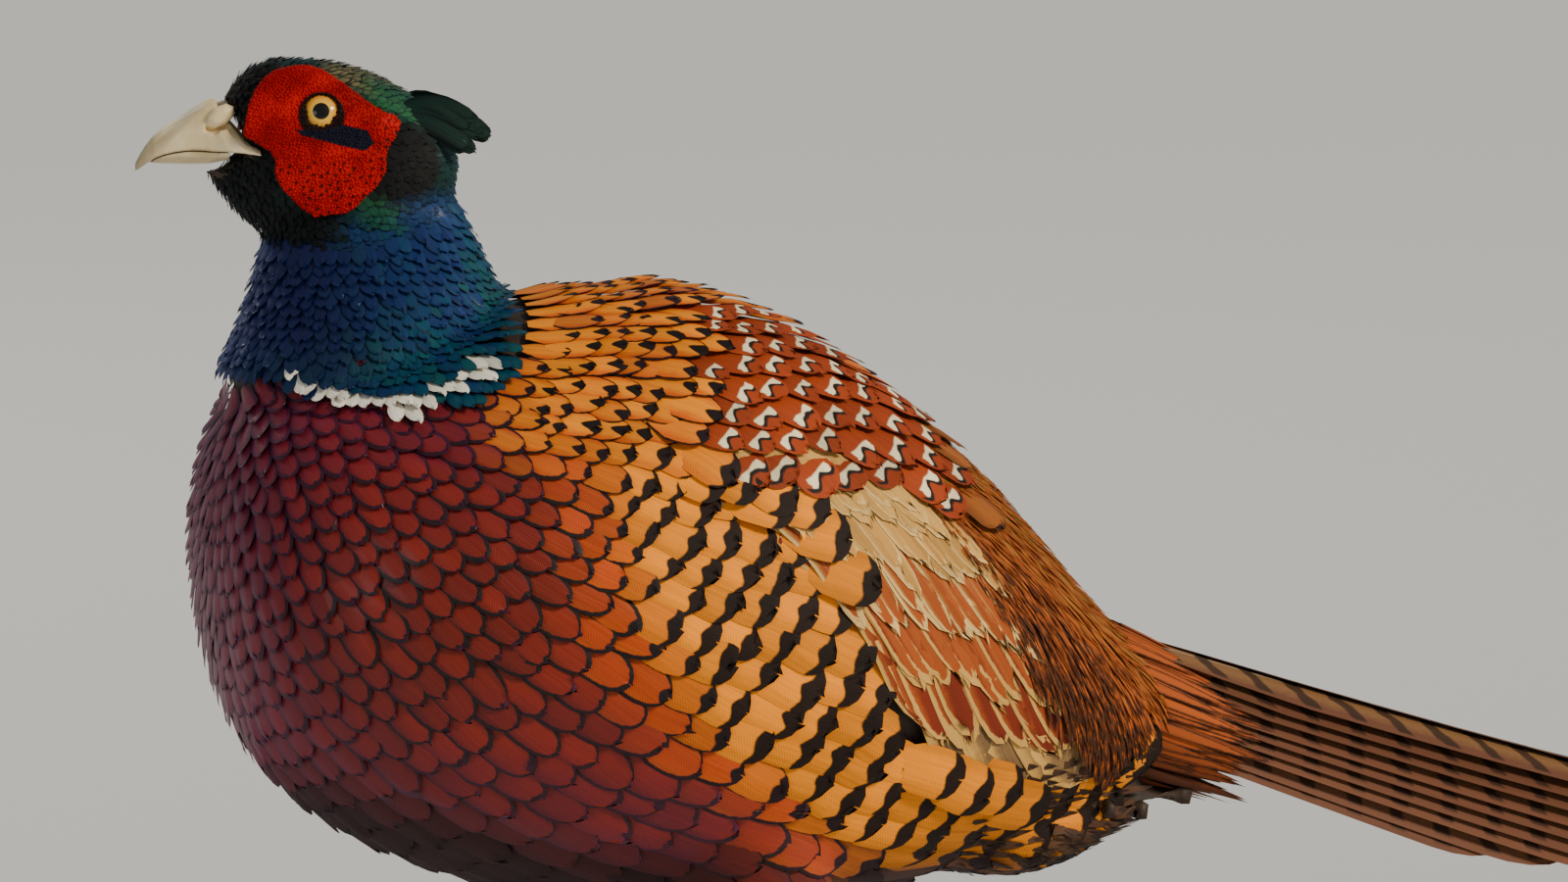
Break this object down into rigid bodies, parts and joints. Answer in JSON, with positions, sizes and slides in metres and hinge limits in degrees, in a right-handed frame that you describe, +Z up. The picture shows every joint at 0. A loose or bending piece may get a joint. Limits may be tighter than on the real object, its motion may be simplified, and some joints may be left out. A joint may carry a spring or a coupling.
{
  "type": "common pheasant",
  "caption": "Life-size male ring-necked pheasant standing with fluffed plumage, neck drawn in, wings folded and long graduated tail held out behind.",
  "frame": {"origin": "on the floor under the middle of the bird's box from bill tip to tail tip", "axes": "+Z up, -X the way the bird faces, +Y to the bird's right"},
  "size_m": [0.7276, 0.1678, 0.2982],
  "materials": {
    "body_plumage": "satin, maroon breast to golden flanks with dark feather tips",
    "neck_plumage": "glossy iridescent blue to green, with a white collar",
    "head_plumage": "glossy dark green",
    "bill": "satin horn",
    "eye": "wet, golden iris round a black pupil",
    "wattle": "velvety bare skin",
    "ear_tuft": "glossy dark green",
    "wing_feathers": "satin, sandy with chestnut and buff edges",
    "rump_plumage": "soft rusty orange, hair-like",
    "tail_feathers": "satin brown with dark bars",
    "vent_plumage": "soft dark brown",
    "thigh_plumage": "soft dark brown",
    "leg_skin": "dull scaled skin",
    "claw": "satin horn"
  },
  "bodies": {
    "root": {"torso": "body_plumage", "neck": "neck_plumage", "head": "head_plumage", "bill_upper": "bill", "bill_lower": "bill", "rump_plumes": "rump_plumage", "tail": "tail_feathers", "vent": "vent_plumage", "eye_left": "eye", "wattle_left": "wattle", "ear_tuft_left": "ear_tuft", "wing_left": "wing_feathers", "thigh_left": "thigh_plumage", "shank_left": "leg_skin", "foot_left": "leg_skin", "spur_left": "claw", "claw_inner_left": "claw", "claw_middle_left": "claw", "claw_outer_left": "claw", "claw_hind_left": "claw", "eye_right": "eye", "wattle_right": "wattle", "ear_tuft_right": "ear_tuft", "wing_right": "wing_feathers", "thigh_right": "thigh_plumage", "shank_right": "leg_skin", "foot_right": "leg_skin", "spur_right": "claw", "claw_inner_right": "claw", "claw_middle_right": "claw", "claw_outer_right": "claw", "claw_hind_right": "claw"}
  },
  "joints": []
}
